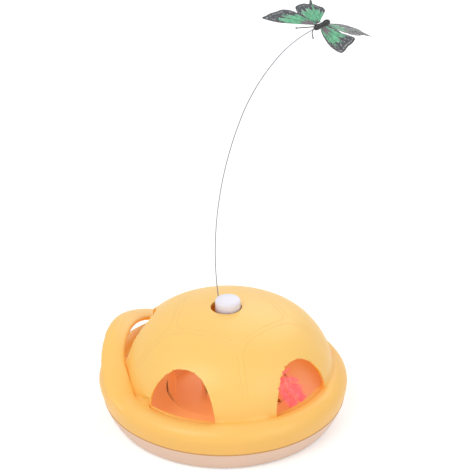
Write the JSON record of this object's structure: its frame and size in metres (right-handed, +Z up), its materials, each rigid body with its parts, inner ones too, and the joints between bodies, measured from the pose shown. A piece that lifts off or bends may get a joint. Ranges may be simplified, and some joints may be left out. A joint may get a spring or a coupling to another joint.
{
  "type": "automatic cat feather toy",
  "caption": "Free-standing battery cat toy: domed shell with arch windows and carry handle, turning feather drum inside, butterfly on a spring wire on top.",
  "frame": {"origin": "on the drum's turning axis, at the flat underside of the base tray; the rubber feet reach 1.2 mm lower", "axes": "+Z up along the turning axis, -X toward the carry handle"},
  "size_m": [0.2247, 0.22, 0.3805],
  "materials": {
    "shell_plastic": "satin",
    "inner_plastic": "satin",
    "base_plastic": "satin",
    "seam_plastic": "satin",
    "white_plastic": "gloss",
    "gear_plastic": "satin",
    "frame_plastic": "satin",
    "black_plastic": "gloss",
    "wing_film": "gloss",
    "spring_steel": "satin",
    "motor_can": "satin",
    "contact_metal": "satin",
    "cell_jacket": "gloss",
    "board_green": "satin",
    "feather_down": "soft",
    "foot_rubber": "matte"
  },
  "bodies": {
    "base": {"base_tray": "base_plastic", "seam_ring": "seam_plastic", "inner_deck": "inner_plastic", "top_shell": "shell_plastic", "gear_pin_1": "spring_steel", "gear_pin_2": "spring_steel", "motor_plate": "frame_plastic", "motor": "motor_can", "motor_cover": "frame_plastic", "pivot_pin": "spring_steel", "battery_cell_1": "cell_jacket", "battery_cell_2": "cell_jacket", "battery_contact_1": "contact_metal", "battery_contact_2": "contact_metal", "battery_spring_plate_1": "contact_metal", "battery_spring_plate_2": "contact_metal", "battery_spring_1": "spring_steel", "battery_spring_2": "spring_steel", "circuit_board": "board_green", "power_switch": "black_plastic", "shell_screws": "spring_steel", "plate_screws": "spring_steel", "rubber_foot_1": "foot_rubber", "rubber_foot_2": "foot_rubber", "rubber_foot_3": "foot_rubber", "rubber_foot_4": "foot_rubber"},
    "rotor": {"rotor_drum": "inner_plastic", "rotor_bush": "gear_plastic", "ring_gear": "gear_plastic", "drive_post": "inner_plastic", "top_cap": "white_plastic", "spring_wire": "spring_steel", "wing_fore_left": "wing_film", "wing_hind_left": "wing_film", "wing_fore_right": "wing_film", "wing_hind_right": "wing_film", "butterfly_body": "black_plastic", "antenna_left": "black_plastic", "antenna_right": "black_plastic", "feather_clip": "inner_plastic", "feather_quill": "feather_down", "feather_plume": "feather_down"},
    "pinion": {"motor_pinion": "gear_plastic"},
    "gear_one": {"compound_gear_1": "gear_plastic"},
    "gear_two": {"compound_gear_2": "gear_plastic"},
    "door": {"battery_door": "base_plastic"},
    "knob": {"switch_knob": "black_plastic"}
  },
  "joints": [
    {"name": "rotor_spin", "type": "hinge", "parent": "base", "child": "rotor", "pos_m": [0, 0, 0.05], "axis": [0, 0, 1], "continuous": true},
    {"name": "gear_two_spin", "type": "hinge", "parent": "base", "child": "gear_two", "pos_m": [0.01884, 0.01388, 0.008], "axis": [0, 0, 1], "continuous": true},
    {"name": "gear_one_spin", "type": "hinge", "parent": "base", "child": "gear_one", "pos_m": [0.015, 0, 0.006], "axis": [0, 0, 1], "continuous": true},
    {"name": "pinion_spin", "type": "hinge", "parent": "base", "child": "pinion", "pos_m": [0, 0, 0.004], "axis": [0, 0, 1], "continuous": true},
    {"name": "door_hinge", "type": "hinge", "parent": "base", "child": "door", "pos_m": [-0.05945, 0, 0.0011], "axis": [0, -1, 0], "range_deg": [0, 75]},
    {"name": "switch_slide", "type": "slide", "parent": "base", "child": "knob", "axis": [0, 1, 0], "range_m": [0, 0.004]}
  ],
  "couplings": [
    {"joint": "gear_two_spin", "follows": "rotor_spin", "ratio": 7.5},
    {"joint": "gear_one_spin", "follows": "rotor_spin", "ratio": -22.5},
    {"joint": "pinion_spin", "follows": "rotor_spin", "ratio": 90}
  ]
}
